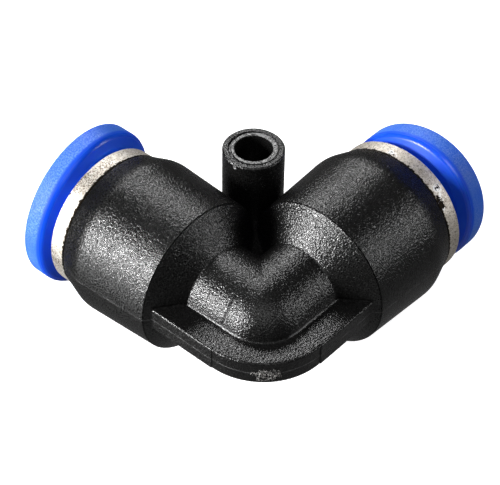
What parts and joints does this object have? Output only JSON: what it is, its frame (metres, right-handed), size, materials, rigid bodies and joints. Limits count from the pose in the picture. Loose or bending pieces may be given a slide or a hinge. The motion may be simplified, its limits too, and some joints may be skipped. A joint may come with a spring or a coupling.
{
  "type": "push to connect fitting",
  "caption": "Union elbow for air tube: black moulded body with a mounting hole, nickel rings and oval blue push collars that free the tube.",
  "frame": {"origin": "on the mounting hole's axis, at the boss's mid-height, which is the plane of the two port axes", "axes": "+Z along the mounting hole, +X the way the right port opens, +Y the way the left port opens"},
  "size_m": [0.0372, 0.0372, 0.0188],
  "materials": {
    "body_plastic": "fine moulded texture, satin black",
    "collar_plastic": "satin blue acetal",
    "nickel_plate": "satin nickel plate over brass, lightly scratched",
    "spring_steel": "rolled stainless",
    "natural_acetal": "natural acetal",
    "nitrile_rubber": "matt black rubber"
  },
  "bodies": {
    "body": {"elbow_body": "body_plastic", "right_guide_ring": "nickel_plate", "left_guide_ring": "nickel_plate", "right_backup_ring": "natural_acetal", "left_backup_ring": "natural_acetal", "right_tube_seal": "nitrile_rubber", "left_tube_seal": "nitrile_rubber"},
    "right_claw": {"right_lock_claw": "spring_steel"},
    "right_collar": {"right_release_collar": "collar_plastic"},
    "left_claw": {"left_lock_claw": "spring_steel"},
    "left_collar": {"left_release_collar": "collar_plastic"}
  },
  "joints": [
    {"name": "right_collar_swivel", "type": "hinge", "parent": "body", "child": "right_claw", "pos_m": [0.00535, -0.0124, 0], "axis": [1, 0, 0], "continuous": true},
    {"name": "right_collar_press", "type": "slide", "parent": "right_claw", "child": "right_collar", "axis": [-1, 0, 0], "range_m": [0, 0.0008], "stiffness_N_per_m": 400, "deforming": ["right_lock_claw"]},
    {"name": "left_collar_swivel", "type": "hinge", "parent": "body", "child": "left_claw", "pos_m": [-0.0124, 0.00535, 0], "axis": [0, 1, 0], "continuous": true},
    {"name": "left_collar_press", "type": "slide", "parent": "left_claw", "child": "left_collar", "axis": [0, -1, 0], "range_m": [0, 0.0008], "stiffness_N_per_m": 400, "deforming": ["left_lock_claw"]}
  ]
}
